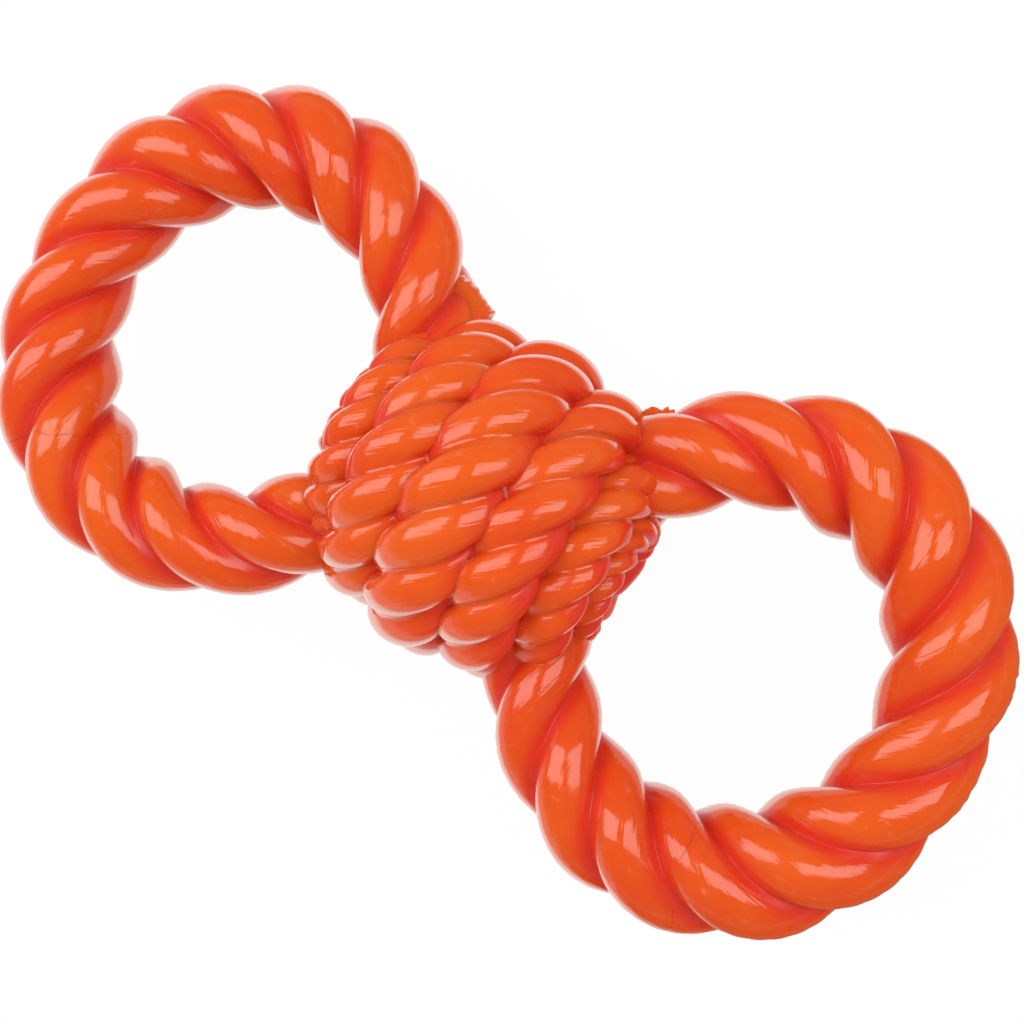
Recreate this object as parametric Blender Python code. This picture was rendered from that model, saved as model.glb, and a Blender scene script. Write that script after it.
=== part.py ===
"""Figure-8 tug toy, moulded as laid rope: two rings and the wound knot that joins them.

The long axis is X, the rings lie in the XY plane, and the origin is the toy's centre of mass,
which is close to the middle of the knot. All sizes are in metres.
"""
import math

import bmesh
import bpy
from mathutils import Vector

# Places along the toy: the knot sits a little nearer to ring 2
KNOT_PLACE = 0.00095
RINGS_PLACE = -0.00045          # the point midway between the rings

# Rings: an oval centre line, a little wider than long, and fuller towards the knot
RING_OFFSET = 0.0755            # midway point to the middle of a ring
RING_HALF_LENGTH = 0.0480       # centre line, along the toy
RING_HALF_WIDTH = 0.0519        # centre line, across the toy
RING_SHOULDER_SHARE = 0.013     # how far the centre line fills out beside the knot
RING_NECK_SHARE = 0.028         # how far it moves out where it runs into the knot
RING_ROPE_RADIUS = 0.01665      # over the crests of the strands
RING_STRANDS = 3
STRAND_GAP = 0.0005             # two strands of a ring, face to face
STRAND_LAY = 0.0655             # rope length for one full twist
STRAND_PHASE = math.radians(15.5)       # twist at the far end of a ring
STRAND_RIPPLE = math.radians(8)         # the twist runs ahead on one half of each flank
STRAND_END = math.radians(165)          # where a strand stops, inside the knot
OUTWARD_STEP = math.radians(0.1)        # for finding a ring's outward direction
STRAND_STEPS_PER_LAY = 13
RING_SAMPLES = 1440             # for measuring along a ring's centre line
STRAND_CREST_SHARES = (-1, -0.75, -0.42, 0, 0.42, 0.75, 1)      # points across a strand
# Rope size round a ring: degrees from the far end, and its share of the full size
ROPE_SIZE_SHARES = ((0, 0.92), (45, 1.01), (90, 1.0), (120, 0.885), (150, 0.85), (180, 0.60))

# Laid rope: how a strand's crest falls to the groove beside it
GROOVE_SHARE = 0.56             # radius at the groove, of the rope's radius
CREST_FULLNESS_SHARE = 0.42     # lower is rounder crests and sharper grooves

# Knot: two-strand rope wound in seven turns, widest in the middle
KNOT_RADIUS = 0.0439            # over the crests of the middle turn
KNOT_RADIUS_SHARES = (1.0, 0.915, 0.695, 0.43)      # middle turn first
WRAP_ROPE_SHARES = (0.2050, 0.1753, 0.1435, 0.1025)     # rope of each turn, of KNOT_RADIUS
WRAP_GAPS = (0.0005, 0.0011, 0.0007)    # between neighbouring turns at the front
LEAST_SELF_GAP = 0.0004
WRAP_LAYS = 7                   # full twists of the rope in each turn
WRAP_LOBES = 2
WRAP_STEPS_PER_LAY = 9
WRAP_PHASE = math.radians(19)           # where the rope's crest faces out, seen from the front
UNDERSIDE_TWIST = math.radians(47)      # turns two crests down, to rest on
UNDERSIDE_EASE = math.radians(258)      # slows the twist there, for longer resting flats
WRAP_CREST_SHARES = (-0.6, -0.2, 0.2, 0.6, 1)   # points across a lobe, the last in the groove
WRAP_GROOVE_SHARE = 0.64
WRAP_FULLNESS_SHARE = 0.8
STEP_RAMP_SHARE = 0.2           # easing at both ends of a turn's step to the next
WRAP_LEAD = math.radians(8)     # run past the front half before a tail dives
TAIL_BEND = 0.0056
TAIL_SHARE = 0.6                # the rope thins as it tucks in
TAIL_STEPS = 6
FLAT_DEPTH = 0.0005             # resting flat under the knot

# Core: fills the wrap and closes the knot's ends
CORE_GAP = 0.0004
CORE_STATIONS = 28
CORE_SIDES = 32
CORE_DOME = 0.0010              # rise of the knot's end face
SEAT_GAP = 0.0003               # ring strand to knot
ENVELOPE_SAMPLES = 120

ORANGE = (0.80, 0.105, 0.016, 1.0)
GLOSSY_ROUGHNESS = 0.18


def clear_scene():
    for thing in list(bpy.data.objects):
        bpy.data.objects.remove(thing, do_unlink=True)


def moulded_rubber():
    material = bpy.data.materials.new("moulded_rubber")
    material.use_nodes = True
    shader = material.node_tree.nodes["Principled BSDF"]
    shader.inputs["Base Color"].default_value = ORANGE
    shader.inputs["Roughness"].default_value = GLOSSY_ROUGHNESS
    return material


def add_object(name, bm, place, material=None):
    """Object from a bmesh moved to its place along the toy."""
    for vert in bm.verts:
        vert.co.x += place
    bmesh.ops.recalc_face_normals(bm, faces=bm.faces)
    mesh = bpy.data.meshes.new(name)
    bm.to_mesh(mesh)
    bm.free()
    mesh.shade_smooth()
    thing = bpy.data.objects.new(name, mesh)
    bpy.context.scene.collection.objects.link(thing)
    if material:
        mesh.materials.append(material)
    return thing


def mark_cutter(thing):
    thing.hide_render = True
    thing.display_type = "WIRE"
    return thing


def cut(thing, cutter):
    modifier = thing.modifiers.new("cut_" + cutter.name, "BOOLEAN")
    modifier.operation = "DIFFERENCE"
    modifier.solver = "EXACT"
    modifier.object = cutter


def interpolate(table, where):
    """Straight-line value from a table of (place, value) pairs."""
    for (a, low), (b, high) in zip(table, table[1:]):
        if where <= b:
            return low + (high - low) * (where - a) / (b - a)
    return table[-1][1]


def sweep(bm, sections, hub=None):
    """Closed tube through sections that all have the same number of points.

    Each four-sided gap is split along its shorter diagonal. Beside the point numbered hub
    the split always runs from the near outer point, so that facing walls stay parallel.
    """
    loops = [[bm.verts.new(point) for point in section] for section in sections]
    count = len(loops[0])
    for near, far in zip(loops, loops[1:]):
        for i in range(count):
            j = (i + 1) % count
            crossed = (near[j].co - far[i].co).length < (near[i].co - far[j].co).length
            if hub == i or (hub != j and crossed):
                bm.faces.new((near[i], near[j], far[i]))
                bm.faces.new((near[j], far[j], far[i]))
            else:
                bm.faces.new((near[i], near[j], far[j]))
                bm.faces.new((near[i], far[j], far[i]))
    bm.faces.new(loops[0][::-1])
    bm.faces.new(loops[-1])


def crest_share(across, groove_share, fullness_share):
    """Rope radius at a place across a strand: 1 at its crest and less at the grooves, +-1."""
    rise = max(math.cos(math.pi / 2 * across), 0) ** fullness_share
    return groove_share + (1 - groove_share) * rise


# Rings

def ring_centre(angle):
    nearness = (1 - math.cos(angle)) / 2
    fullness = 1 - RING_SHOULDER_SHARE * math.cos(3 * angle) + RING_NECK_SHARE * nearness ** 4
    return Vector((RING_OFFSET + RING_HALF_LENGTH * fullness * math.cos(angle),
                   RING_HALF_WIDTH * fullness * math.sin(angle), 0))


def ring_outward(angle):
    along = ring_centre(angle + OUTWARD_STEP) - ring_centre(angle - OUTWARD_STEP)
    return along.cross(Vector((0, 0, 1))).normalized()


def rope_size_share(angle):
    return interpolate(ROPE_SIZE_SHARES, abs(math.degrees(angle)))


def ring_angles():
    """Angles round a ring, evenly spaced along its centre line, and the lengths there."""
    fine = [STRAND_END * (2 * i / RING_SAMPLES - 1) for i in range(RING_SAMPLES + 1)]
    lengths = [0.0]
    for a, b in zip(fine, fine[1:]):
        lengths.append(lengths[-1] + (ring_centre(b) - ring_centre(a)).length)
    count = round(lengths[-1] / STRAND_LAY * STRAND_STEPS_PER_LAY)
    table = list(zip(lengths, fine))
    half = lengths[-1] / 2
    places = [lengths[-1] * i / count for i in range(count + 1)]
    return [(interpolate(table, place), place - half) for place in places]


def strand_section(centre, outward, size, twist):
    """Section of one strand: a wedge of the rope, its point at the rope's centre line."""
    up = Vector((0, 0, 1))
    half = math.pi / RING_STRANDS
    inset = STRAND_GAP / 2
    points = [(inset / math.sin(half), 0)]
    for across in STRAND_CREST_SHARES:
        angle = half * across
        reach = size * crest_share(across, GROOVE_SHARE, CREST_FULLNESS_SHARE)
        shift = inset * across
        points.append((reach * math.cos(angle) + abs(shift) * math.sin(half),
                       reach * math.sin(angle) - shift * math.cos(half)))
    return [centre + math.cos(twist) * (x * outward + y * up)
            + math.sin(twist) * (x * up - y * outward) for x, y in points]


def build_strand(name, number, side, material):
    """One strand of a ring; side is 1 for the ring on +X and -1 for the other."""
    sections = []
    for angle, length in ring_angles():
        twist = STRAND_PHASE + math.tau * (number / RING_STRANDS - length / STRAND_LAY)
        twist += STRAND_RIPPLE * math.sin(2 * angle)
        size = RING_ROPE_RADIUS * rope_size_share(angle)
        sections.append(strand_section(ring_centre(angle), ring_outward(angle), size, twist))
    bm = bmesh.new()
    sweep(bm, sections, hub=0)
    for vert in bm.verts:
        vert.co.x *= side
        vert.co.y *= side
    return add_object(name, bm, RINGS_PLACE, material)


# Knot

def wrap_turns():
    """Place along X, centre-line radius and rope radius of each turn, in order along X."""
    ropes = [KNOT_RADIUS * share for share in WRAP_ROPE_SHARES]
    radii = [KNOT_RADIUS * share - rope for share, rope in zip(KNOT_RADIUS_SHARES, ropes)]
    places = [0]
    for i, gap in enumerate(WRAP_GAPS):
        apart = ropes[i] + ropes[i + 1] + gap
        drop = radii[i] - radii[i + 1]
        places.append(places[-1] + math.sqrt(apart ** 2 - drop ** 2))
    half = list(zip(places, radii, ropes))
    return [(-x, radius, rope) for x, radius, rope in half[:0:-1]] + half


TURNS = wrap_turns()


def turn_at(position):
    """Place, radius and rope radius at a position counted in turns, 0 for the first."""
    last = len(TURNS) - 1
    index = min(int(position), last - 1)
    t = position - index
    around = [TURNS[min(max(index + k, 0), last)] for k in (-1, 0, 1, 2)]
    return [b + t * (c - a) / 2 + t * t * (2 * a - 5 * b + 4 * c - d) / 2
            + t ** 3 * (3 * (b - c) + d - a) / 2 for a, b, c, d in zip(*around)]


def eased(t):
    """Steady climb from 0 to 1 with short ramps, so that a step is as gentle as it can be."""
    ramp = STEP_RAMP_SHARE
    if t > 0.5:
        return 1 - eased(1 - t)
    if t < ramp:
        return t * t / (2 * ramp * (1 - ramp))
    return (t - ramp / 2) / (1 - ramp)


def winding_position(turned):
    """Turn position after an angle: square round the front, one step across the back."""
    turns = turned / math.tau
    index = math.floor(turns + 0.5)
    past = turns - index
    if past > 0.25:
        return index + eased(2 * (past - 0.25))
    if past < -0.25:
        return index - 1 + eased(2 * (past + 0.75))
    return float(index)


def winding_station(turned):
    """Centre, outward direction and rope radius of the winding after an angle."""
    last = len(TURNS) - 1
    place, radius, rope = turn_at(min(max(winding_position(turned), 0), last))
    outward = Vector((0, -math.sin(turned), math.cos(turned)))
    return Vector((place, 0, 0)) + radius * outward, outward, rope


def tail_stations(turned, forward):
    """The rope's end past an angle: a quarter bend into the core, then straight in."""
    centre, outward, rope = winding_station(turned)
    along = forward * Vector((0, -math.cos(turned), -math.sin(turned)))
    stations = []
    for i in range(1, TAIL_STEPS + 1):
        bend = math.pi / 2 * i / TAIL_STEPS
        size = rope * (1 + (TAIL_SHARE - 1) * i / TAIL_STEPS)
        place = centre + TAIL_BEND * (math.sin(bend) * along - (1 - math.cos(bend)) * outward)
        stations.append((place, math.cos(bend) * outward + math.sin(bend) * along, size))
    place, facing, size = stations[-1]
    steps = TAIL_STEPS // 2
    for i in range(1, steps + 1):
        stations.append((place - outward * 2 * size * i / steps, facing, size))
    return stations


def winding_angles():
    """Angles of the winding's stations, from the first turn's start to the last turn's end."""
    start = -math.pi / 2 - WRAP_LEAD
    end = math.tau * (len(TURNS) - 1) - start
    steps = round((end - start) / math.tau * WRAP_LAYS * WRAP_STEPS_PER_LAY)
    return [start + (end - start) * i / steps for i in range(steps + 1)]


def wrap_twist(angle):
    """Even twist seen from the front, eased on the underside so that crests point down there."""
    underside = (1 - math.cos(angle)) / 2
    eased = UNDERSIDE_EASE * math.sin(angle) * underside ** 12
    return UNDERSIDE_TWIST * underside ** 2 - eased - WRAP_LAYS * (angle - WRAP_PHASE)


def lobed_section(centre, outward, size, twist):
    """Section of the wound rope: its lobes, and the grooves between them."""
    points = []
    side = Vector((1, 0, 0))
    for lobe in range(WRAP_LOBES):
        middle = twist + math.tau * lobe / WRAP_LOBES
        for across in WRAP_CREST_SHARES:
            angle = middle + math.pi / WRAP_LOBES * across
            reach = size * crest_share(across, WRAP_GROOVE_SHARE, WRAP_FULLNESS_SHARE)
            points.append(centre + reach * (math.cos(angle) * outward + math.sin(angle) * side))
    return points


def winding_sections():
    angles = winding_angles()
    stations = [winding_station(angle) for angle in angles]
    twists = [wrap_twist(angle) for angle in angles]
    before = tail_stations(angles[0], -1)
    after = tail_stations(angles[-1], 1)
    stations = before[::-1] + stations + after
    twists = [twists[0]] * len(before) + twists + [twists[-1]] * len(after)
    return [lobed_section(*station, twist) for station, twist in zip(stations, twists)]


def least_self_gap(sections):
    """Smallest distance between the surfaces of neighbouring turns, point to point."""
    per_turn = WRAP_LAYS * WRAP_STEPS_PER_LAY
    reach = WRAP_STEPS_PER_LAY // 2
    best = math.inf
    for i, section in enumerate(sections):
        for j in range(i + per_turn - reach, min(i + per_turn + reach, len(sections))):
            for a in section:
                for b in sections[j]:
                    best = min(best, (a - b).length)
    return best


def build_winding(material):
    sections = winding_sections()
    gap = least_self_gap(sections)
    print("knot_wrap least gap to itself, mm:", round(1000 * gap, 3))
    if gap <= LEAST_SELF_GAP:
        print("knot_wrap turns are closer than they should be")
    bm = bmesh.new()
    sweep(bm, sections)
    lowest = min(vert.co.z for vert in bm.verts)
    everything = bm.verts[:] + bm.edges[:] + bm.faces[:]
    result = bmesh.ops.bisect_plane(bm, geom=everything, plane_no=(0, 0, -1), clear_outer=True,
                                    plane_co=(0, 0, lowest + FLAT_DEPTH))
    rim = [item for item in result["geom_cut"] if isinstance(item, bmesh.types.BMEdge)]
    bmesh.ops.edgenet_fill(bm, edges=rim)
    return add_object("knot_wrap", bm, KNOT_PLACE, material)


def turn_samples():
    last = len(TURNS) - 1
    return [turn_at(last * i / ENVELOPE_SAMPLES) for i in range(ENVELOPE_SAMPLES + 1)]


def under_wrap(x):
    """Largest radius at x that clears the wound rope from inside."""
    best = math.inf
    for place, radius, rope in turn_samples():
        reach = rope + CORE_GAP
        if abs(x - place) < reach:
            best = min(best, radius - math.sqrt(reach ** 2 - (x - place) ** 2))
    return best


def over_wrap(x):
    """Smallest radius at x that clears the wound rope from outside."""
    best = 0
    for place, radius, rope in turn_samples():
        reach = rope + SEAT_GAP
        if abs(x - place) <= reach:
            best = max(best, radius + math.sqrt(reach ** 2 - (x - place) ** 2))
    return best


def outer_hull(profile):
    """The profile without its dips, so that each strand's end is cut in one piece."""
    hull = []
    for x, radius in profile:
        while len(hull) > 1:
            (x_1, radius_1), (x_2, radius_2) = hull[-2:]
            if (x_2 - x_1) * (radius - radius_1) < (x - x_1) * (radius_2 - radius_1):
                break
            hull.pop()
        hull.append((x, radius))
    return hull


def lathe(bm, profile, sides):
    """Closed solid turned about X from a profile of (x, radius) pairs."""
    rings = []
    for x, radius in profile:
        turns = [math.tau * i / sides for i in range(sides)]
        rings.append([Vector((x, radius * math.cos(t), radius * math.sin(t))) for t in turns])
    sweep(bm, rings)


def knot_half_length():
    place, _, rope = TURNS[-1]
    return place + rope


def build_core(material):
    half = TURNS[-1][0]
    stations = [half * (2 * i / CORE_STATIONS - 1) for i in range(CORE_STATIONS + 1)]
    profile = [(x, under_wrap(x)) for x in stations]
    end = knot_half_length()
    shoulder = profile[-1][1]
    lip = shoulder - CORE_DOME
    profile = ([(-end, lip - CORE_DOME), (-end + CORE_DOME, lip)] + profile
               + [(end - CORE_DOME, lip), (end, lip - CORE_DOME)])
    bm = bmesh.new()
    lathe(bm, profile, CORE_SIDES)
    core = add_object("knot_core", bm, KNOT_PLACE, material)
    angles = winding_angles()
    for name, angle, forward in (("first_socket", angles[0], -1), ("last_socket", angles[-1], 1)):
        cut(core, build_socket(name, angle, forward))
    return core


def build_socket(name, turned, forward):
    """Cutter for the hole in the core that takes one end of the wound rope."""
    stations = [winding_station(turned)] + tail_stations(turned, forward)
    place, facing, size = stations[-1]
    inward = (place - stations[-2][0]).normalized()
    stations.append((place + CORE_GAP * inward, facing, size))
    sections = []
    turns = [math.tau * i / CORE_SIDES for i in range(CORE_SIDES)]
    for centre, outward, rope in stations:
        side = Vector((1, 0, 0))
        reach = rope + CORE_GAP
        sections.append([centre + reach * (math.cos(t) * outward + math.sin(t) * side)
                         for t in turns])
    bm = bmesh.new()
    sweep(bm, sections)
    return mark_cutter(add_object(name, bm, KNOT_PLACE))


def build_envelope():
    """Cutter of the knot's outer shape, which shapes the ring strands' ends."""
    end = knot_half_length() + SEAT_GAP
    count = 2 * CORE_STATIONS
    stations = [end * math.sin(math.pi * (i / count - 1 / 2)) for i in range(count + 1)]
    flats_share = 1 / math.cos(math.pi / CORE_SIDES)
    bm = bmesh.new()
    lathe(bm, outer_hull([(x, over_wrap(x) * flats_share) for x in stations]), CORE_SIDES)
    return mark_cutter(add_object("knot_envelope", bm, KNOT_PLACE))


def build_toy():
    clear_scene()
    rubber = moulded_rubber()
    build_winding(rubber.copy())
    build_core(rubber.copy())
    envelope = build_envelope()
    for ring, side in ((1, -1), (2, 1)):
        for number in range(RING_STRANDS):
            name = f"ring_{ring}_strand_{number + 1}"
            cut(build_strand(name, number, side, rubber.copy()), envelope)


build_toy()
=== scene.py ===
import math

import bmesh
import bpy
from mathutils import Matrix, Vector, noise


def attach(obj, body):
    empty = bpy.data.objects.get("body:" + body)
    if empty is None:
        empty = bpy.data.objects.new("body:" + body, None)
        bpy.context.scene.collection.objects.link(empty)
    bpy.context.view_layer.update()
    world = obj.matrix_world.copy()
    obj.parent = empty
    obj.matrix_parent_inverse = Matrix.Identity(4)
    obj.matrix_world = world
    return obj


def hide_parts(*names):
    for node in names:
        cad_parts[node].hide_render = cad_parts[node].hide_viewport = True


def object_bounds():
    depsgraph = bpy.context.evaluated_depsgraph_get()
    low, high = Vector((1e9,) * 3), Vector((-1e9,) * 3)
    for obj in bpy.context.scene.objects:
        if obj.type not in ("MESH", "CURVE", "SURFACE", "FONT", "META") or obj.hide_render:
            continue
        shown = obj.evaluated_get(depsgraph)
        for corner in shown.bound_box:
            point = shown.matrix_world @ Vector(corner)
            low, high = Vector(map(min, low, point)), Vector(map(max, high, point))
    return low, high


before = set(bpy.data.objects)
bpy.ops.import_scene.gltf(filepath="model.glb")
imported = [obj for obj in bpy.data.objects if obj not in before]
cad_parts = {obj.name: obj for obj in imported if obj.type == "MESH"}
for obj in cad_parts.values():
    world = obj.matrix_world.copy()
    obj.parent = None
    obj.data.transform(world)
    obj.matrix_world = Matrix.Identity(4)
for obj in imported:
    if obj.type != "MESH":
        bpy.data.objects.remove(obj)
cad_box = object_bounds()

# Figure-8 tug toy: the looks of one orange moulding shaped as laid rope.
# The toy's long axis is X, the rings lie in the XY plane, and sizes are in metres unless noted.

MM_PER_METRE = 1000
FLOOR_LEVEL = cad_box[0][2]

# Places along the toy, as in the part
KNOT_PLACE = 0.00095
RINGS_PLACE = -0.00045

# Rings, as in the part
RING_OFFSET = 0.0755
RING_HALF_LENGTH = 0.0480
RING_HALF_WIDTH = 0.0519
RING_SHOULDER_SHARE = 0.013     # how far a ring fills out towards its shoulders
RING_SWELLS = 3                 # two at the shoulders and one in the knot
RING_NECK_SHARE = 0.028         # how far it moves out where it runs into the knot
RING_NECK_POWER = 4
RING_ROPE_RADIUS = 0.01635
RING_LAY = 0.0655
RING_PHASE = math.radians(15.5)
RING_RIPPLE = math.radians(8)   # the twist runs ahead of even on the near side of each flank
RING_RIPPLES = 2                # times round a ring
RING_END = math.radians(165)
RING_SIZE_SHARES = ((0, 0.91), (45, 1.01), (90, 1.0), (120, 0.885), (150, 0.86), (180, 0.62))
RING_STATIONS = 420
STRANDS = 3

# Strands of laid rope, as shares of the rope's radius
STRAND_SHARE = 0.488
ORBIT_SHARE = 1 - STRAND_SHARE
CREASE_SHARE = 0.035            # rounding at the bottom of a groove
STRAND_POINTS = 14
NEARBY_STEPS = 30               # looked at to each side of a strand's nearest place
REACH_STEP = 0.002
REACH_LEAST = 0.2

# Knot: the part's turns pressed together and its crests kept, but of rope with three lobes
TURN_RADII = (0.04355, 0.0399, 0.0304, 0.0189)
TURN_ROPE_RADII = (0.0096, 0.0082, 0.0067, 0.0047)
TURN_PLACES = (0.0, 0.0170, 0.0297, 0.0357)
WRAP_LOBES = 3
WRAP_CRESTS = 14                # in each turn
WRAP_LAYS = WRAP_CRESTS / WRAP_LOBES
WRAP_PHASE = math.radians(19)
WRAP_LEAD = math.radians(8)     # it starts this far before one flank and ends as far past the other
FRONT_SHARE = 0.25              # of a turn, to each side of its front, where it runs square
STEP_RAMP_SHARE = 0.2           # of a step between turns, at each of its ends
UNDERSIDE_TWIST = math.radians(31.3)
UNDERSIDE_EASE = math.radians(172)
UNDERSIDE_EASE_POWER = 12
GROOVE_SHARE = 0.70             # radius at the grooves of the knot's rope, of its full radius
WIDTH_SHARE = 1.28              # the turns are pressed into each other along the knot
FULLNESS_SHARE = 0.8
KNOT_SHADE = 1.05               # how fast the knot's rope reddens from its crests down, as painted shade
LOBE_POINTS = 14
STEPS_PER_LAY = 48
TAIL_BEND = 0.0056              # radius of the bend that takes each end of the rope inwards
TAIL_SHARE = 0.6                # the rope thins as it tucks in
TAIL_STEPS = 16
TAIL_DROP = 2                   # times its radius, straight in after the bend
FILLING_SHARE = 0.22            # rise of the filling between the turns, of their rope's radius
FILLING_DEPTH = 1.0             # painted as red, in shade, as the bottom of a groove
FILLING_STATIONS = 60
FILLING_SIDES = 96

# Weld lines of each ring: middle, from the ring's own, heading and half length
WELDS = {1: (((-0.0209, -0.0413), math.radians(32), 0.032),),
         2: (((0.0120, -0.0423), math.radians(-93.5), 0.0065),
             ((0.0191, -0.0630), math.radians(-75), 0.0060))}
WELD_SIDE = 0.005               # distances are kept this far to each side
FAR_FROM_WELD = 5.0             # millimetres, given to all other points

# Parting line, cut flat on the outside of ring 2
TRIMMED_ARCS = {2: ((14, 28), (-9, 10))}        # degrees round a ring
TRIM_SHARE = 0.965

# Torn flash in the crotches: points along its free edge, way to its root, thickness at both
TORN_WEB = (((-0.0335, 0.0447), (-0.0293, 0.0442), (-0.0271, 0.0432), (-0.0243, 0.0420),
             (-0.0217, 0.0410), (-0.0213, 0.0385)), (-0.0032, -0.0085), 0.0011, 0.0135)
TORN_CHIP = (((0.0234, 0.0399), (0.0260, 0.0418), (0.0276, 0.0414)),
             (0.0, -0.0060), 0.0005, 0.0024)
TORN_CURL = (((0.0274, 0.0418), (0.0282, 0.0431), (0.0290, 0.0423), (0.0299, 0.0432),
              (0.0305, 0.0424)), (0.0, -0.0060), 0.0005, 0.0024)
FLASH = {1: (TORN_WEB,), 2: (TORN_CHIP, TORN_CURL)}
TORN_STEP = 0.00035             # between points of a torn edge
TORN_DEPTH = 0.0006
TORN_GRAIN = 0.0017
FLASH_WAIST_SHARE = 0.25        # of the way to its root, where its thickness is halfway
FLASH_DEPTHS = (0.0, 0.25, 0.6, 0.6, 0.25, 0.0)     # round its section, for its colour: painted shade deepens towards its buried root

# Colours of the rubber, with the red of painted shade in its grooves
BRIGHT_ORANGE = (0.78, 0.100, 0.010, 1)
DEEP_ORANGE = (0.75, 0.068, 0.010, 1)
# painted shade: the deeper red that the grooves are painted towards their bottoms
GROOVE_SHADE_RED = (0.74, 0.036, 0.013, 1)
SCUFFED_ORANGE = (0.86, 0.20, 0.08, 1)
WELD_RED = (0.30, 0.015, 0.008, 1)
SCUFF_COLOUR_SHARE = 0.35
WELD_COLOUR_SHARE = 0.55

# Patterns on the rubber: size of their features, and detail
CLOUDS = (0.030, 3.0)
SCUFFS = (0.0035, 6.0)
GLOSS_PATCHES = (0.006, 4.0)
WAVES = (0.0045, 2.0)           # waves of flow that break up the highlights
PEEL = (0.0009, 1.0)
STREAKS = (1.0, 3.0)            # streaks of flow along each strand, whose own size is below
WELD_WANDER = (0.009, 2.0)
WELD_BREAKS = (0.005, 2.0)
PARTING_WAVER = (0.012, 2.0)
PIT_CELLS = 260.0               # per metre

# Heights of the relief and sizes of its lines and streaks, in millimetres
WAVE_HEIGHT = 0.04
PEEL_HEIGHT = 0.004
STREAK_HEIGHT = 0.17
STREAK_LENGTH = 7.0
STREAK_WIDTH = 1.8
WELD_RISE = -0.05
WELD_HALF_WIDTH = 0.08
PARTING_RISE = 0.03
PARTING_HALF_WIDTH = 0.10
PIT_RISE = -0.04

# Ramps over a pattern: where each begins and ends, and its levels there if not 0 and 1
CLOUD_RAMP = (0.3, 0.7)
SCUFF_RAMP = (0.60, 0.75)
GLOSS_RAMP = (0.3, 0.8, 0.06, 0.20)
WELD_WANDER_RAMP = (0.2, 0.8, -1.2, 1.2)
WELD_BREAK_RAMP = (0.35, 0.60, 0.45, 1.0)
PARTING_WAVER_RAMP = (0.3, 0.7, -0.06, 0.06)
PIT_CHOICE_RAMP = (0.84, 0.86)
PIT_RAMP = (0.03, 0.08, 1.0, 0.0)

# Ramps over depth, which is 0 on a crest and 1 at the bottom of a ring's grooves
# painted shade: where the colour turns from the rubber's orange to the groove red
GROOVE_SHADING = (0.18, 0.80)
SCUFF_FADE = (0.05, 0.35, 1.0, 0.0)
RELIEF_FADE = (0.45, 0.75, 1.0, 0.0)
RIM_FADE = (0.50, 0.85, 1.0, 0.0)
DULLING = (0.50, 0.90, 0.0, 0.20)

# Gloss of the rubber
FACING_BLEND = 0.5
RIM_RAMP = (0.52, 0.66)         # over the Layer Weight node's facing, towards each outline
SCUFF_ROUGHNESS = 0.15
RUBBER_SETTINGS = {"IOR": 1.55, "Coat IOR": 3.7, "Coat Roughness": 0.06,
                   "Subsurface Weight": 0.25, "Subsurface Radius": (1.0, 0.2, 0.1),
                   "Subsurface Scale": 0.003}

# Camera: the photograph looks down on the toy from a little past square
VIEW_DISTANCE = 0.4246
VIEW_ROLL = math.radians(31.99)
VIEW_TILT = math.radians(10.08)
VIEW_LEAN = math.radians(3.33)
VIEW_OFFSET = (0.0075, 0.0040)      # the camera's axis passes this far right of and below the knot
IMAGE_PIXELS = 1024
FOCAL_PIXELS = 1698
SENSOR_WIDTH = 36                   # millimetres

# Stage
WHITE = (1, 1, 1, 1)
FLOOR_HALF = 3.0
FLOOR_COLOUR = (0.9, 0.9, 0.9, 1)
FLOOR_ROUGHNESS = 0.9
# painted light: to camera and glossy rays the floor mostly glows; in the gloss it is white towards
# the left of the view and dim orange, painted shade and bounce, towards its right
FLOOR_GLOW_SHARE = 0.97
FLOOR_GLOW = (1.0, 0.90, 0.85, 1)
FLOOR_BOUNCE = (0.60, 0.10, 0.03, 1)
GLOW_HEADINGS = ((0.99, -0.15, 0), (0.225, 0.974, 0))   # to the photograph's lower and upper right
GLOW_RAMP = (0.09, 0.14, 1.0, 0.0)
FILL_LEVEL = 0.66
FILL_COLOUR = (1.0, 0.93, 0.94, 1)
SKY_RAMP = (0.0, 0.35, 0.40, 0.08)  # seen in the gloss, from the horizon up
# Softboxes: name, angles from the camera's axis to the right and up, width, height and watts
SOFTBOXES = (("left_box", math.radians(-45), math.radians(18), 1.00, 0.60, 5.9),
             ("right_box", math.radians(25), math.radians(8), 0.82, 0.54, 4.2))
SOFTBOX_DISTANCE = 1.0
SOFTBOX_COLOUR = (0.80, 1.0, 0.98)


def smooth_object(name, bm, place=0.0):
    """Object from a bmesh, moved to its place along the toy and shaded smooth."""
    for vert in bm.verts:
        vert.co.x += place
    bmesh.ops.recalc_face_normals(bm, faces=bm.faces)
    mesh = bpy.data.meshes.new(name)
    bm.to_mesh(mesh)
    bm.free()
    mesh.shade_smooth()
    thing = bpy.data.objects.new(name, mesh)
    bpy.context.scene.collection.objects.link(thing)
    return thing


def interpolate(table, where):
    """Value between a table's rows, level where it passes each of them."""
    for (a, low), (b, high) in zip(table, table[1:]):
        if where <= b:
            t = (where - a) / (b - a)
            return low + (high - low) * t * t * (3 - 2 * t)
    return table[-1][1]


def float_layers(bm, *names):
    """Number layers on a bmesh's points, made where they are missing."""
    layers = bm.verts.layers.float
    for name in names:
        if name not in layers:
            layers.new(name)
    return [layers[name] for name in names]


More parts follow.
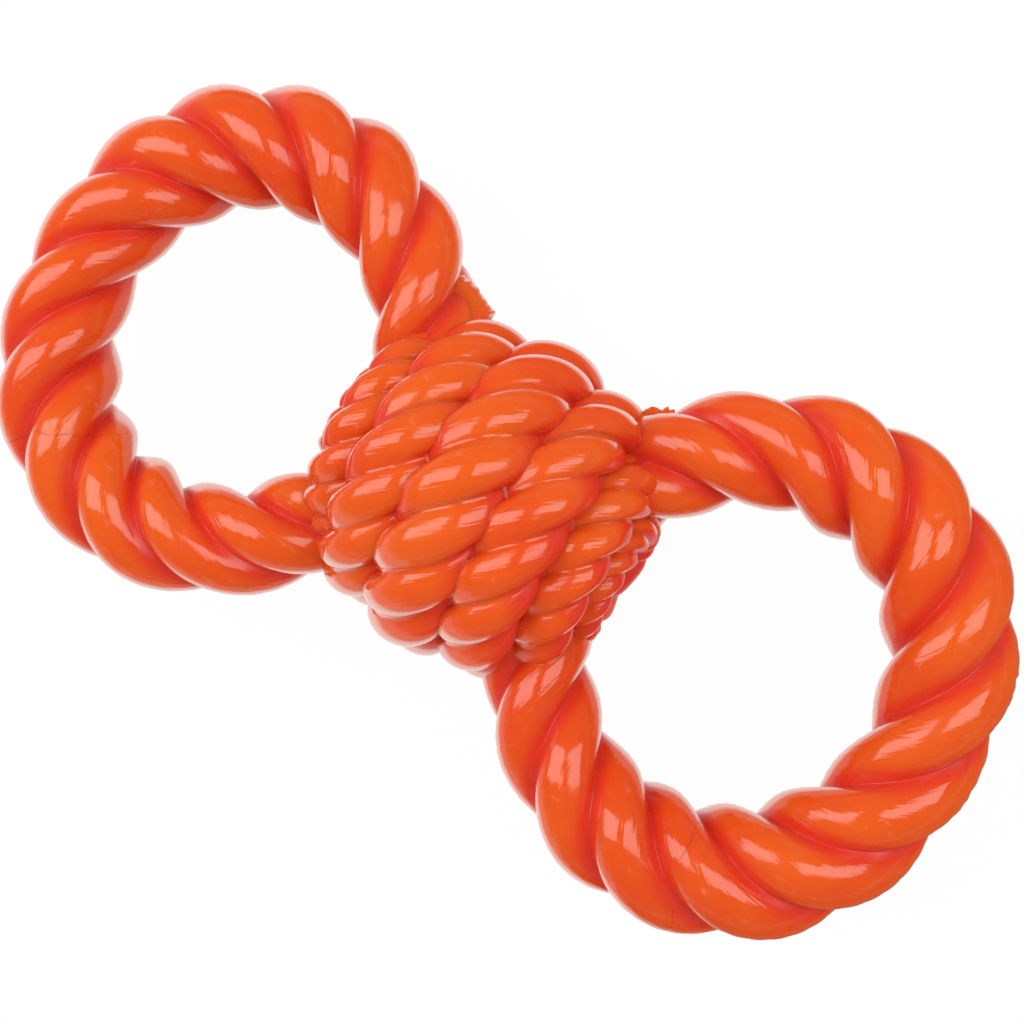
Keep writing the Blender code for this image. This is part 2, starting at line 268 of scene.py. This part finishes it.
def sweep(bm, sections, depths):
    """Closed tube through sections with equally many points, and how deep each point lies.

    Each point also keeps how far it lies along the tube and round it, in millimetres.
    """
    depth, weld, along, across = float_layers(bm, "depth", "weld", "along", "across")
    middle = sections[len(sections) // 2]
    spacing = sum((b - a).length for a, b in zip(middle, middle[1:])) / len(middle)
    length = 0.0
    last_centre = None
    loops = []
    for section, levels in zip(sections, depths):
        centre = sum(section, Vector()) / len(section)
        if last_centre is not None:
            length += (centre - last_centre).length
        last_centre = centre
        loop = []
        for i, (point, level) in enumerate(zip(section, levels)):
            vert = bm.verts.new(point)
            vert[depth] = level
            vert[weld] = FAR_FROM_WELD
            vert[along] = MM_PER_METRE * length
            vert[across] = MM_PER_METRE * spacing * i
            loop.append(vert)
        loops.append(loop)
    count = len(loops[0])
    for near, far in zip(loops, loops[1:]):
        for i in range(count):
            j = (i + 1) % count
            bm.faces.new((near[i], near[j], far[j], far[i]))
    bm.faces.new(loops[0][::-1])
    bm.faces.new(loops[-1])


# Laid rope

def strand_clearance(reach, angle, lay):
    """Gap from a point on a square cut of the rope to a helical strand, below 0 inside it."""
    nearest = math.inf
    for i in range(-NEARBY_STEPS, NEARBY_STEPS + 1):
        turn = math.pi / 2 * i / NEARBY_STEPS
        height = lay * turn / math.tau
        gap = math.dist((reach * math.cos(angle), reach * math.sin(angle), 0),
                        (ORBIT_SHARE * math.cos(turn), ORBIT_SHARE * math.sin(turn), height))
        nearest = min(nearest, gap)
    return nearest - STRAND_SHARE


def strand_reach(angle, lay):
    """Outline of one helical strand cut square to the rope: radius at an angle from its crest."""
    reach = 1.0
    while strand_clearance(reach, angle, lay) > 0 and reach > REACH_LEAST:
        reach -= REACH_STEP
    return reach


def rope_outline(lay):
    """Outline of one strand from groove to groove: angles and radii, radius 1 at its crest."""
    half = math.pi / STRANDS
    outline = []
    for i in range(STRAND_POINTS):
        angle = half * math.sin(math.pi / 2 * (2 * i / STRAND_POINTS - 1))
        near = strand_reach(abs(angle), lay)
        far = strand_reach(2 * half - abs(angle), lay)
        closeness = max(CREASE_SHARE - abs(near - far), 0) / CREASE_SHARE
        outline.append((angle, max(near, far) + CREASE_SHARE * closeness * closeness / 4))
    return outline


def lobe_outline():
    """Outline of one lobe of the knot's rope, from groove to groove."""
    half = math.pi / WRAP_LOBES
    outline = []
    for i in range(LOBE_POINTS):
        across = 2 * i / LOBE_POINTS - 1
        rise = max(math.cos(math.pi / 2 * across), 0) ** FULLNESS_SHARE
        outline.append((half * across, GROOVE_SHARE + (1 - GROOVE_SHARE) * rise))
    return outline


def rope_section(outline, lobes, centre, outward, side, size, twist):
    """Points round the rope at one station, lobe by lobe."""
    points = []
    for lobe in range(lobes):
        for angle, reach in outline:
            turn = twist + angle + math.tau * lobe / lobes
            arm = math.cos(turn) * outward + math.sin(turn) * side
            points.append(centre + size * reach * arm)
    return points


# Rings

def ring_centre(angle):
    """Point on a ring's centre line, at an angle from the toy's end."""
    nearness = (1 - math.cos(angle)) / 2
    shoulders = RING_SHOULDER_SHARE * math.cos(RING_SWELLS * angle)
    fullness = 1 - shoulders + RING_NECK_SHARE * nearness ** RING_NECK_POWER
    return Vector((RING_OFFSET + RING_HALF_LENGTH * fullness * math.cos(angle),
                   RING_HALF_WIDTH * fullness * math.sin(angle), 0))


def ring_stations():
    """Angle, centre, outward direction and length from the far end, round a ring."""
    angles = [RING_END * (2 * i / RING_STATIONS - 1) for i in range(RING_STATIONS + 1)]
    centres = [ring_centre(angle) for angle in angles]
    lengths = [0.0]
    for a, b in zip(centres, centres[1:]):
        lengths.append(lengths[-1] + (b - a).length)
    stations = []
    for i, angle in enumerate(angles):
        along = centres[min(i + 1, RING_STATIONS)] - centres[max(i - 1, 0)]
        outward = along.cross(Vector((0, 0, 1))).normalized()
        stations.append((angle, centres[i], outward, lengths[i] - lengths[-1] / 2))
    return stations


def trim(points, number, angle, centre, outward, size):
    """Points of a section with the moulding's parting line cut flat, where it is."""
    arcs = TRIMMED_ARCS.get(number, ())
    if not any(low < math.degrees(angle) < high for low, high in arcs):
        return points
    limit = TRIM_SHARE * size
    return [point - max((point - centre).dot(outward) - limit, 0) * outward for point in points]


def mark_welds(bm, number, middle):
    """Give each point beside a weld line its distance from it, in millimetres."""
    layer = bm.verts.layers.float["weld"]
    for place, heading, half_length in WELDS[number]:
        along = Vector((math.cos(heading), math.sin(heading), 0))
        square = Vector((-math.sin(heading), math.cos(heading), 0))
        for vert in bm.verts:
            arm = vert.co - Vector((middle, 0, 0)) - Vector((*place, 0))
            if abs(arm.dot(along)) < half_length and abs(arm.dot(square)) < WELD_SIDE:
                vert[layer] = MM_PER_METRE * arm.dot(square)


def torn_edge(corners):
    """Corners of a free edge joined by short steps that stray to both sides."""
    points = []
    for (x_0, y_0), (x_1, y_1) in zip(corners, corners[1:]):
        run = Vector((x_1 - x_0, y_1 - y_0, 0))
        square = run.cross(Vector((0, 0, 1))).normalized()
        steps = max(2, round(run.length / TORN_STEP))
        for i in range(steps):
            point = Vector((x_0, y_0, 0)) + run * i / steps
            points.append(point + TORN_DEPTH * noise.noise(point / TORN_GRAIN) * square)
    points.append(Vector((*corners[-1], 0)))
    return points


def add_flash(bm, corners, root, edge_thickness, root_thickness):
    """Thin web of flash with a torn edge, its root buried in the rope."""
    sections = []
    root_side = Vector((*root, 0)).normalized()
    mean_thickness = (edge_thickness + root_thickness) / 2
    edge_half = Vector((0, 0, edge_thickness / 2))
    waist_half = Vector((0, 0, mean_thickness / 2))
    root_half = Vector((0, 0, root_thickness / 2))
    for point in torn_edge(corners):
        inner = point + Vector((*root, 0))
        waist = point.lerp(inner, FLASH_WAIST_SHARE)
        crumple = Vector((0, 0, TORN_DEPTH * noise.noise(point / TORN_GRAIN + root_side)))
        edge = point + crumple
        sections.append([edge + edge_half, waist + waist_half, inner + root_half,
                         inner - root_half, waist - waist_half, edge - edge_half])
    sweep(bm, sections, [FLASH_DEPTHS] * len(sections))


def make_ring(number, side):
    """Ring of laid rope on one side of the knot: 1 towards +X, or -1 for half a turn about Z."""
    outline = rope_outline(RING_LAY / RING_ROPE_RADIUS)
    groove_reach = min(reach for _, reach in outline)
    levels = [(1 - reach) / (1 - groove_reach) for _, reach in outline] * STRANDS
    up = Vector((0, 0, 1))
    sections = []
    for angle, centre, outward, length in ring_stations():
        ripple = RING_RIPPLE * math.sin(RING_RIPPLES * angle)
        twist = RING_PHASE - math.tau * length / RING_LAY + ripple
        size = RING_ROPE_RADIUS * interpolate(RING_SIZE_SHARES, abs(math.degrees(angle)))
        section = rope_section(outline, STRANDS, centre, outward, up, size, twist)
        sections.append(trim(section, number, angle, centre, outward, size))
    bm = bmesh.new()
    sweep(bm, sections, [levels] * len(sections))
    for vert in bm.verts:
        vert.co.x *= side
        vert.co.y *= side
    for flash in FLASH[number]:
        add_flash(bm, *flash)
    mark_welds(bm, number, side * RING_OFFSET)
    ring = smooth_object(f"ring_{number}_rope", bm, RINGS_PLACE)
    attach(ring, "root")
    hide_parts(*[f"ring_{number}_strand_{k + 1}" for k in range(STRANDS)])
    return ring


# Knot

def wrap_turns():
    """Place along X, centre-line radius and rope radius of each turn, in order along X."""
    half = [(place, radius - rope, rope)
            for place, radius, rope in zip(TURN_PLACES, TURN_RADII, TURN_ROPE_RADII)]
    return [(-place, radius, rope) for place, radius, rope in half[:0:-1]] + half


TURNS = wrap_turns()


def turn_at(position):
    """Place, radius and rope radius at a position counted in turns, on a curve through them all."""
    last = len(TURNS) - 1
    index = min(int(position), last - 1)
    t = position - index
    around = [TURNS[min(max(index + k, 0), last)] for k in (-1, 0, 1, 2)]
    return [b + t * (c - a) / 2 + t * t * (2 * a - 5 * b + 4 * c - d) / 2
            + t ** 3 * (3 * (b - c) + d - a) / 2 for a, b, c, d in zip(*around)]


def eased(t):
    """Share of a step that is done at a share of its way, with a slow start and end."""
    if t > 0.5:
        return 1 - eased(1 - t)
    if t < STEP_RAMP_SHARE:
        return t * t / (2 * STEP_RAMP_SHARE * (1 - STEP_RAMP_SHARE))
    return (t - STEP_RAMP_SHARE / 2) / (1 - STEP_RAMP_SHARE)


def winding_position(turned):
    """Turn position after an angle: square round the front, one step across the back."""
    turns = turned / math.tau
    index = math.floor(turns + 0.5)
    past = turns - index
    step_share = 1 - 2 * FRONT_SHARE
    if past > FRONT_SHARE:
        return index + eased((past - FRONT_SHARE) / step_share)
    if past < -FRONT_SHARE:
        return index - 1 + eased((past + 1 - FRONT_SHARE) / step_share)
    return float(index)


def wrap_twist(angle):
    """Even twist seen from the front, slower on the underside, where two crests point down."""
    underside = (1 - math.cos(angle)) / 2
    slack = UNDERSIDE_EASE * math.sin(angle) * underside ** UNDERSIDE_EASE_POWER
    return UNDERSIDE_TWIST * underside ** 2 - slack - WRAP_LAYS * (angle - WRAP_PHASE)


def winding_station(turned):
    """Centre, outward direction and rope radius of the winding after an angle."""
    last = len(TURNS) - 1
    place, radius, rope = turn_at(min(max(winding_position(turned), 0), last))
    outward = Vector((0, -math.sin(turned), math.cos(turned)))
    return Vector((place, 0, 0)) + radius * outward, outward, rope


def tail_stations(turned, forward):
    """The rope's end past an angle: a quarter bend into the filling, then straight in."""
    centre, outward, rope = winding_station(turned)
    along = forward * Vector((0, -math.cos(turned), -math.sin(turned)))
    stations = []
    for i in range(1, TAIL_STEPS + 1):
        bend = math.pi / 2 * i / TAIL_STEPS
        size = rope * (1 + (TAIL_SHARE - 1) * i / TAIL_STEPS)
        place = centre + TAIL_BEND * (math.sin(bend) * along - (1 - math.cos(bend)) * outward)
        stations.append((place, math.cos(bend) * outward + math.sin(bend) * along, size))
    place, facing, size = stations[-1]
    stations.append((place - outward * TAIL_DROP * size, facing, size))
    return stations


def winding_stations():
    """Stations of the whole winding with the rope's twist at each."""
    start = -math.pi / 2 - WRAP_LEAD
    end = math.tau * (len(TURNS) - 1) - start
    steps = round((end - start) / math.tau * WRAP_LAYS * STEPS_PER_LAY)
    angles = [start + (end - start) * i / steps for i in range(steps + 1)]
    before = [(*station, wrap_twist(start)) for station in tail_stations(start, -1)]
    along = [(*winding_station(angle), wrap_twist(angle)) for angle in angles]
    after = [(*station, wrap_twist(end)) for station in tail_stations(end, 1)]
    return before[::-1] + along + after


def rest_flat(bm):
    """Cut the underside flat where the toy rests."""
    result = bmesh.ops.bisect_plane(bm, geom=bm.verts[:] + bm.edges[:] + bm.faces[:],
                                    plane_co=(0, 0, FLOOR_LEVEL), plane_no=(0, 0, -1),
                                    clear_outer=True)
    rim = [item for item in result["geom_cut"] if isinstance(item, bmesh.types.BMEdge)]
    bmesh.ops.edgenet_fill(bm, edges=rim)


def make_winding():
    """The knot's one long rope."""
    outline = lobe_outline()
    side = Vector((WIDTH_SHARE, 0, 0))
    sections = []
    depths = []
    for centre, outward, rope, twist in winding_stations():
        section = rope_section(outline, WRAP_LOBES, centre, outward, side, rope, twist)
        heights = [(point - centre).dot(outward) / rope for point in section]
        sections.append(section)
        depths.append([KNOT_SHADE * (1 - height) for height in heights])
    bm = bmesh.new()
    sweep(bm, sections, depths)
    rest_flat(bm)
    winding = smooth_object("knot_winding", bm, KNOT_PLACE)
    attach(winding, "root")
    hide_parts("knot_wrap")
    return winding


def make_core():
    """The moulded rubber between the turns and behind them."""
    angles = [math.tau * k / FILLING_SIDES for k in range(FILLING_SIDES)]
    bm = bmesh.new()
    sections = []
    for i in range(FILLING_STATIONS + 1):
        x, radius, rope = turn_at((len(TURNS) - 1) * i / FILLING_STATIONS)
        radius += FILLING_SHARE * rope
        sections.append([Vector((x, radius * math.cos(angle), radius * math.sin(angle)))
                         for angle in angles])
    sweep(bm, sections, [[FILLING_DEPTH] * FILLING_SIDES] * len(sections))
    core = smooth_object("knot_filling", bm, KNOT_PLACE)
    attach(core, "root")
    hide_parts("knot_core")
    return core


# Shader nodes

def add_node(tree, kind, inputs=None, **settings):
    """New shader node; its inputs are values, or sockets that are linked to them."""
    made = tree.nodes.new("ShaderNode" + kind)
    for name, value in settings.items():
        setattr(made, name, value)
    for key, value in (inputs or {}).items():
        if isinstance(value, bpy.types.NodeSocket):
            tree.links.new(value, made.inputs[key])
        else:
            made.inputs[key].default_value = value
    return made


def attribute(tree, name):
    return add_node(tree, "Attribute", attribute_name=name).outputs["Fac"]


def noise_level(tree, place, size, detail):
    """Noise with features of a size in the units of its place."""
    inputs = {"Vector": place, "Scale": 1 / size, "Detail": detail}
    return add_node(tree, "TexNoise", inputs).outputs["Fac"]


def ramp(tree, value, start, stop, low=0.0, high=1.0):
    """Smooth change from low to high as the value goes from start to stop."""
    inputs = {"Value": value, "From Min": start, "From Max": stop, "To Min": low, "To Max": high}
    return add_node(tree, "MapRange", inputs, interpolation_type="SMOOTHSTEP").outputs[0]


def noise_ramp(tree, place, pattern, levels):
    return ramp(tree, noise_level(tree, place, *pattern), *levels)


def math_node(tree, operation, first, second=0.0):
    return add_node(tree, "Math", {0: first, 1: second}, operation=operation).outputs[0]


def multiply(tree, first, second):
    return math_node(tree, "MULTIPLY", first, second)


def blend_levels(tree, share, first, second):
    """Number between two others."""
    return add_node(tree, "Mix", {0: share, 2: first, 3: second}).outputs[0]


def blend_colours(tree, share, first, second):
    """Colour between two others."""
    made = add_node(tree, "Mix", {0: share, 6: first, 7: second}, data_type="RGBA")
    return made.outputs[2]


# Rubber

def thin_line(tree, distance, half_width, wander):
    """Share of a thin line where a distance in millimetres, bent by noise, is near 0."""
    bent = math_node(tree, "ADD", distance, wander)
    return ramp(tree, math_node(tree, "ABSOLUTE", bent), half_width, 2 * half_width, 1.0, 0.0)


def moulding_marks(tree, place):
    """Weld lines and the parting line, each as a share from 0 to 1."""
    wander = noise_ramp(tree, place, WELD_WANDER, WELD_WANDER_RAMP)
    broken = noise_ramp(tree, place, WELD_BREAKS, WELD_BREAK_RAMP)
    line = thin_line(tree, attribute(tree, "weld"), WELD_HALF_WIDTH, wander)
    weld = multiply(tree, line, broken)
    height = add_node(tree, "SeparateXYZ", {0: place}).outputs["Z"]
    waver = noise_ramp(tree, place, PARTING_WAVER, PARTING_WAVER_RAMP)
    parting = thin_line(tree, multiply(tree, height, MM_PER_METRE), PARTING_HALF_WIDTH, waver)
    return weld, parting


def scuff_marks(tree, place, depth):
    """Scuffed patches on the crests, as a share from 0 to 1."""
    patches = noise_ramp(tree, place, SCUFFS, SCUFF_RAMP)
    return multiply(tree, patches, ramp(tree, depth, *SCUFF_FADE))


def pit_marks(tree, place):
    """A few small pits, one in some of the cells, as a share from 0 to 1."""
    cells = add_node(tree, "TexVoronoi", {"Vector": place, "Scale": PIT_CELLS})
    draw = add_node(tree, "SeparateColor", {0: cells.outputs["Color"]}).outputs[0]
    middle = ramp(tree, cells.outputs["Distance"], *PIT_RAMP)
    return multiply(tree, ramp(tree, draw, *PIT_CHOICE_RAMP), middle)


def rubber_colour(tree, place, depth, weld, scuff):
    cloud = noise_ramp(tree, place, CLOUDS, CLOUD_RAMP)
    colour = blend_colours(tree, cloud, BRIGHT_ORANGE, DEEP_ORANGE)
    # painted shade: redder towards the bottom of each groove, by depth
    colour = blend_colours(tree, ramp(tree, depth, *GROOVE_SHADING), colour, GROOVE_SHADE_RED)
    scuffed = multiply(tree, scuff, SCUFF_COLOUR_SHARE)
    colour = blend_colours(tree, scuffed, colour, SCUFFED_ORANGE)
    return blend_colours(tree, multiply(tree, weld, WELD_COLOUR_SHARE), colour, WELD_RED)


def rubber_roughness(tree, place, depth, scuff):
    gloss = noise_ramp(tree, place, GLOSS_PATCHES, GLOSS_RAMP)
    roughness = math_node(tree, "ADD", gloss, multiply(tree, scuff, SCUFF_ROUGHNESS))
    return math_node(tree, "ADD", roughness, ramp(tree, depth, *DULLING))


def rubber_relief(tree, place, depth, weld, parting, pits):
    """Normal of the surface, from its height in millimetres."""
    waves = multiply(tree, noise_level(tree, place, *WAVES), WAVE_HEIGHT)
    peel = multiply(tree, noise_level(tree, place, *PEEL), PEEL_HEIGHT)
    along = math_node(tree, "DIVIDE", attribute(tree, "along"), STREAK_LENGTH)
    across = math_node(tree, "DIVIDE", attribute(tree, "across"), STREAK_WIDTH)
    route = add_node(tree, "CombineXYZ", {0: along, 1: across}).outputs[0]
    streaks = multiply(tree, noise_level(tree, route, *STREAKS), STREAK_HEIGHT)
    height = math_node(tree, "ADD", waves, streaks)
    height = multiply(tree, height, ramp(tree, depth, *RELIEF_FADE))
    height = math_node(tree, "ADD", height, peel)
    for mark, rise in ((weld, WELD_RISE), (parting, PARTING_RISE), (pits, PIT_RISE)):
        height = math_node(tree, "ADD", height, multiply(tree, mark, rise))
    return add_node(tree, "Bump", {"Height": height, "Distance": 1 / MM_PER_METRE}).outputs[0]


def moulded_rubber():
    material = bpy.data.materials.new("moulded_rubber")
    material.use_nodes = True
    tree = material.node_tree
    shader = tree.nodes["Principled BSDF"]
    place = add_node(tree, "TexCoord").outputs["Object"]
    depth = attribute(tree, "depth")
    weld, parting = moulding_marks(tree, place)
    scuff = scuff_marks(tree, place, depth)
    surface = rubber_relief(tree, place, depth, weld, parting, pit_marks(tree, place))
    facing = add_node(tree, "LayerWeight", {"Blend": FACING_BLEND}).outputs["Facing"]
    rims = multiply(tree, ramp(tree, facing, *RIM_RAMP), ramp(tree, depth, *RIM_FADE))
    for name, socket in (("Base Color", rubber_colour(tree, place, depth, weld, scuff)),
                         ("Roughness", rubber_roughness(tree, place, depth, scuff)),
                         ("Normal", surface),
                         ("Coat Weight", rims),
                         ("Coat Normal", surface)):
        tree.links.new(socket, shader.inputs[name])
    for name, value in RUBBER_SETTINGS.items():
        shader.inputs[name].default_value = value
    return material


# Stage

def stand(place, right, up, back):
    """Matrix that puts something at a place, with its own axes along three directions."""
    return Matrix.Translation(place) @ Matrix((right, up, back)).transposed().to_4x4()


def view_axes():
    """Right, up and back directions of the camera, in the toy's frame."""
    turn = Matrix.Rotation(-VIEW_LEAN, 3, "X") @ Matrix.Rotation(VIEW_TILT, 3, "Y")
    right = turn @ Vector((math.cos(VIEW_ROLL), math.sin(VIEW_ROLL), 0))
    up = turn @ Vector((-math.sin(VIEW_ROLL), math.cos(VIEW_ROLL), 0))
    back = turn @ Vector((0, 0, 1))
    return right, up, back


def make_camera():
    right, up, back = view_axes()
    data = bpy.data.cameras.new("camera")
    data.sensor_width = SENSOR_WIDTH
    data.lens = SENSOR_WIDTH * FOCAL_PIXELS / IMAGE_PIXELS
    camera = bpy.data.objects.new("camera", data)
    place = VIEW_DISTANCE * back + VIEW_OFFSET[0] * right - VIEW_OFFSET[1] * up
    place.x += RINGS_PLACE
    camera.matrix_world = stand(place, right, up, back)
    bpy.context.scene.collection.objects.link(camera)
    bpy.context.scene.camera = camera


def make_softbox(name, sideways, upwards, width, height, watts):
    """Softbox facing the toy, its place given as angles from the camera's axis."""
    right, up, back = view_axes()
    toward = (back + math.tan(sideways) * right + math.tan(upwards) * up).normalized()
    data = bpy.data.lights.new(name, "AREA")
    data.shape = "RECTANGLE"
    data.size = width
    data.size_y = height
    data.energy = watts
    data.color = SOFTBOX_COLOUR
    box = bpy.data.objects.new(name, data)
    across = up.cross(toward).normalized()
    box.matrix_world = stand(SOFTBOX_DISTANCE * toward, across, toward.cross(across), toward)
    bpy.context.scene.collection.objects.link(box)


def floor_white():
    """White to the camera; in the gloss white on the photograph's left, dim orange on its right."""
    material = bpy.data.materials.new("floor_white")
    material.use_nodes = True
    tree = material.node_tree
    shader = tree.nodes["Principled BSDF"]
    shader.inputs["Base Color"].default_value = FLOOR_COLOUR
    shader.inputs["Roughness"].default_value = FLOOR_ROUGHNESS
    place = add_node(tree, "TexCoord").outputs["Object"]
    # Painted light: to glossy rays the floor glows white towards the left of the view and fades to
    # dim orange, painted shade and bounce, towards its right
    glow = 1.0
    for heading in GLOW_HEADINGS:
        along = add_node(tree, "VectorMath", {0: place, 1: heading}, operation="DOT_PRODUCT")
        glow = multiply(tree, ramp(tree, along.outputs["Value"], *GLOW_RAMP), glow)
    path = add_node(tree, "LightPath")
    gloss = blend_colours(tree, glow, FLOOR_BOUNCE, FLOOR_GLOW)
    colour = blend_colours(tree, path.outputs["Is Camera Ray"], gloss, WHITE)
    light = add_node(tree, "Emission", {"Color": colour, "Strength": 1.0})
    seen = math_node(tree, "MAXIMUM", path.outputs["Is Camera Ray"], path.outputs["Is Glossy Ray"])
    share = multiply(tree, seen, FLOOR_GLOW_SHARE)
    mix = add_node(tree, "MixShader", {0: share, 1: shader.outputs[0], 2: light.outputs[0]})
    tree.links.new(mix.outputs[0], tree.nodes["Material Output"].inputs["Surface"])
    return material


def make_floor():
    bm = bmesh.new()
    corners = [bm.verts.new((x, y, FLOOR_LEVEL)) for x, y in
               ((-FLOOR_HALF, -FLOOR_HALF), (FLOOR_HALF, -FLOOR_HALF),
                (FLOOR_HALF, FLOOR_HALF), (-FLOOR_HALF, FLOOR_HALF))]
    bm.faces.new(corners)
    floor = smooth_object("floor", bm)
    floor.data.materials.append(floor_white())


def make_world():
    """Even fill for the colours, dim surroundings in the gloss, and a white backdrop."""
    world = bpy.data.worlds.new("studio")
    world.use_nodes = True
    tree = world.node_tree
    direction = add_node(tree, "TexCoord").outputs["Generated"]
    height = add_node(tree, "SeparateXYZ", {0: direction}).outputs["Z"]
    path = add_node(tree, "LightPath")
    level = blend_levels(tree, path.outputs["Is Glossy Ray"], FILL_LEVEL,
                         ramp(tree, height, *SKY_RAMP))
    level = math_node(tree, "MAXIMUM", level, path.outputs["Is Camera Ray"])
    colour = blend_colours(tree, path.outputs["Is Camera Ray"], FILL_COLOUR, WHITE)
    background = tree.nodes["Background"]
    tree.links.new(colour, background.inputs["Color"])
    tree.links.new(level, background.inputs["Strength"])
    bpy.context.scene.world = world


bpy.context.scene.view_settings.view_transform = "Standard"
rubber = moulded_rubber()
pieces = [make_ring(1, -1), make_ring(2, 1), make_winding(), make_core()]
for piece in pieces:
    piece.data.materials.append(rubber)
make_camera()
for softbox in SOFTBOXES:
    make_softbox(*softbox)
make_floor()
make_world()
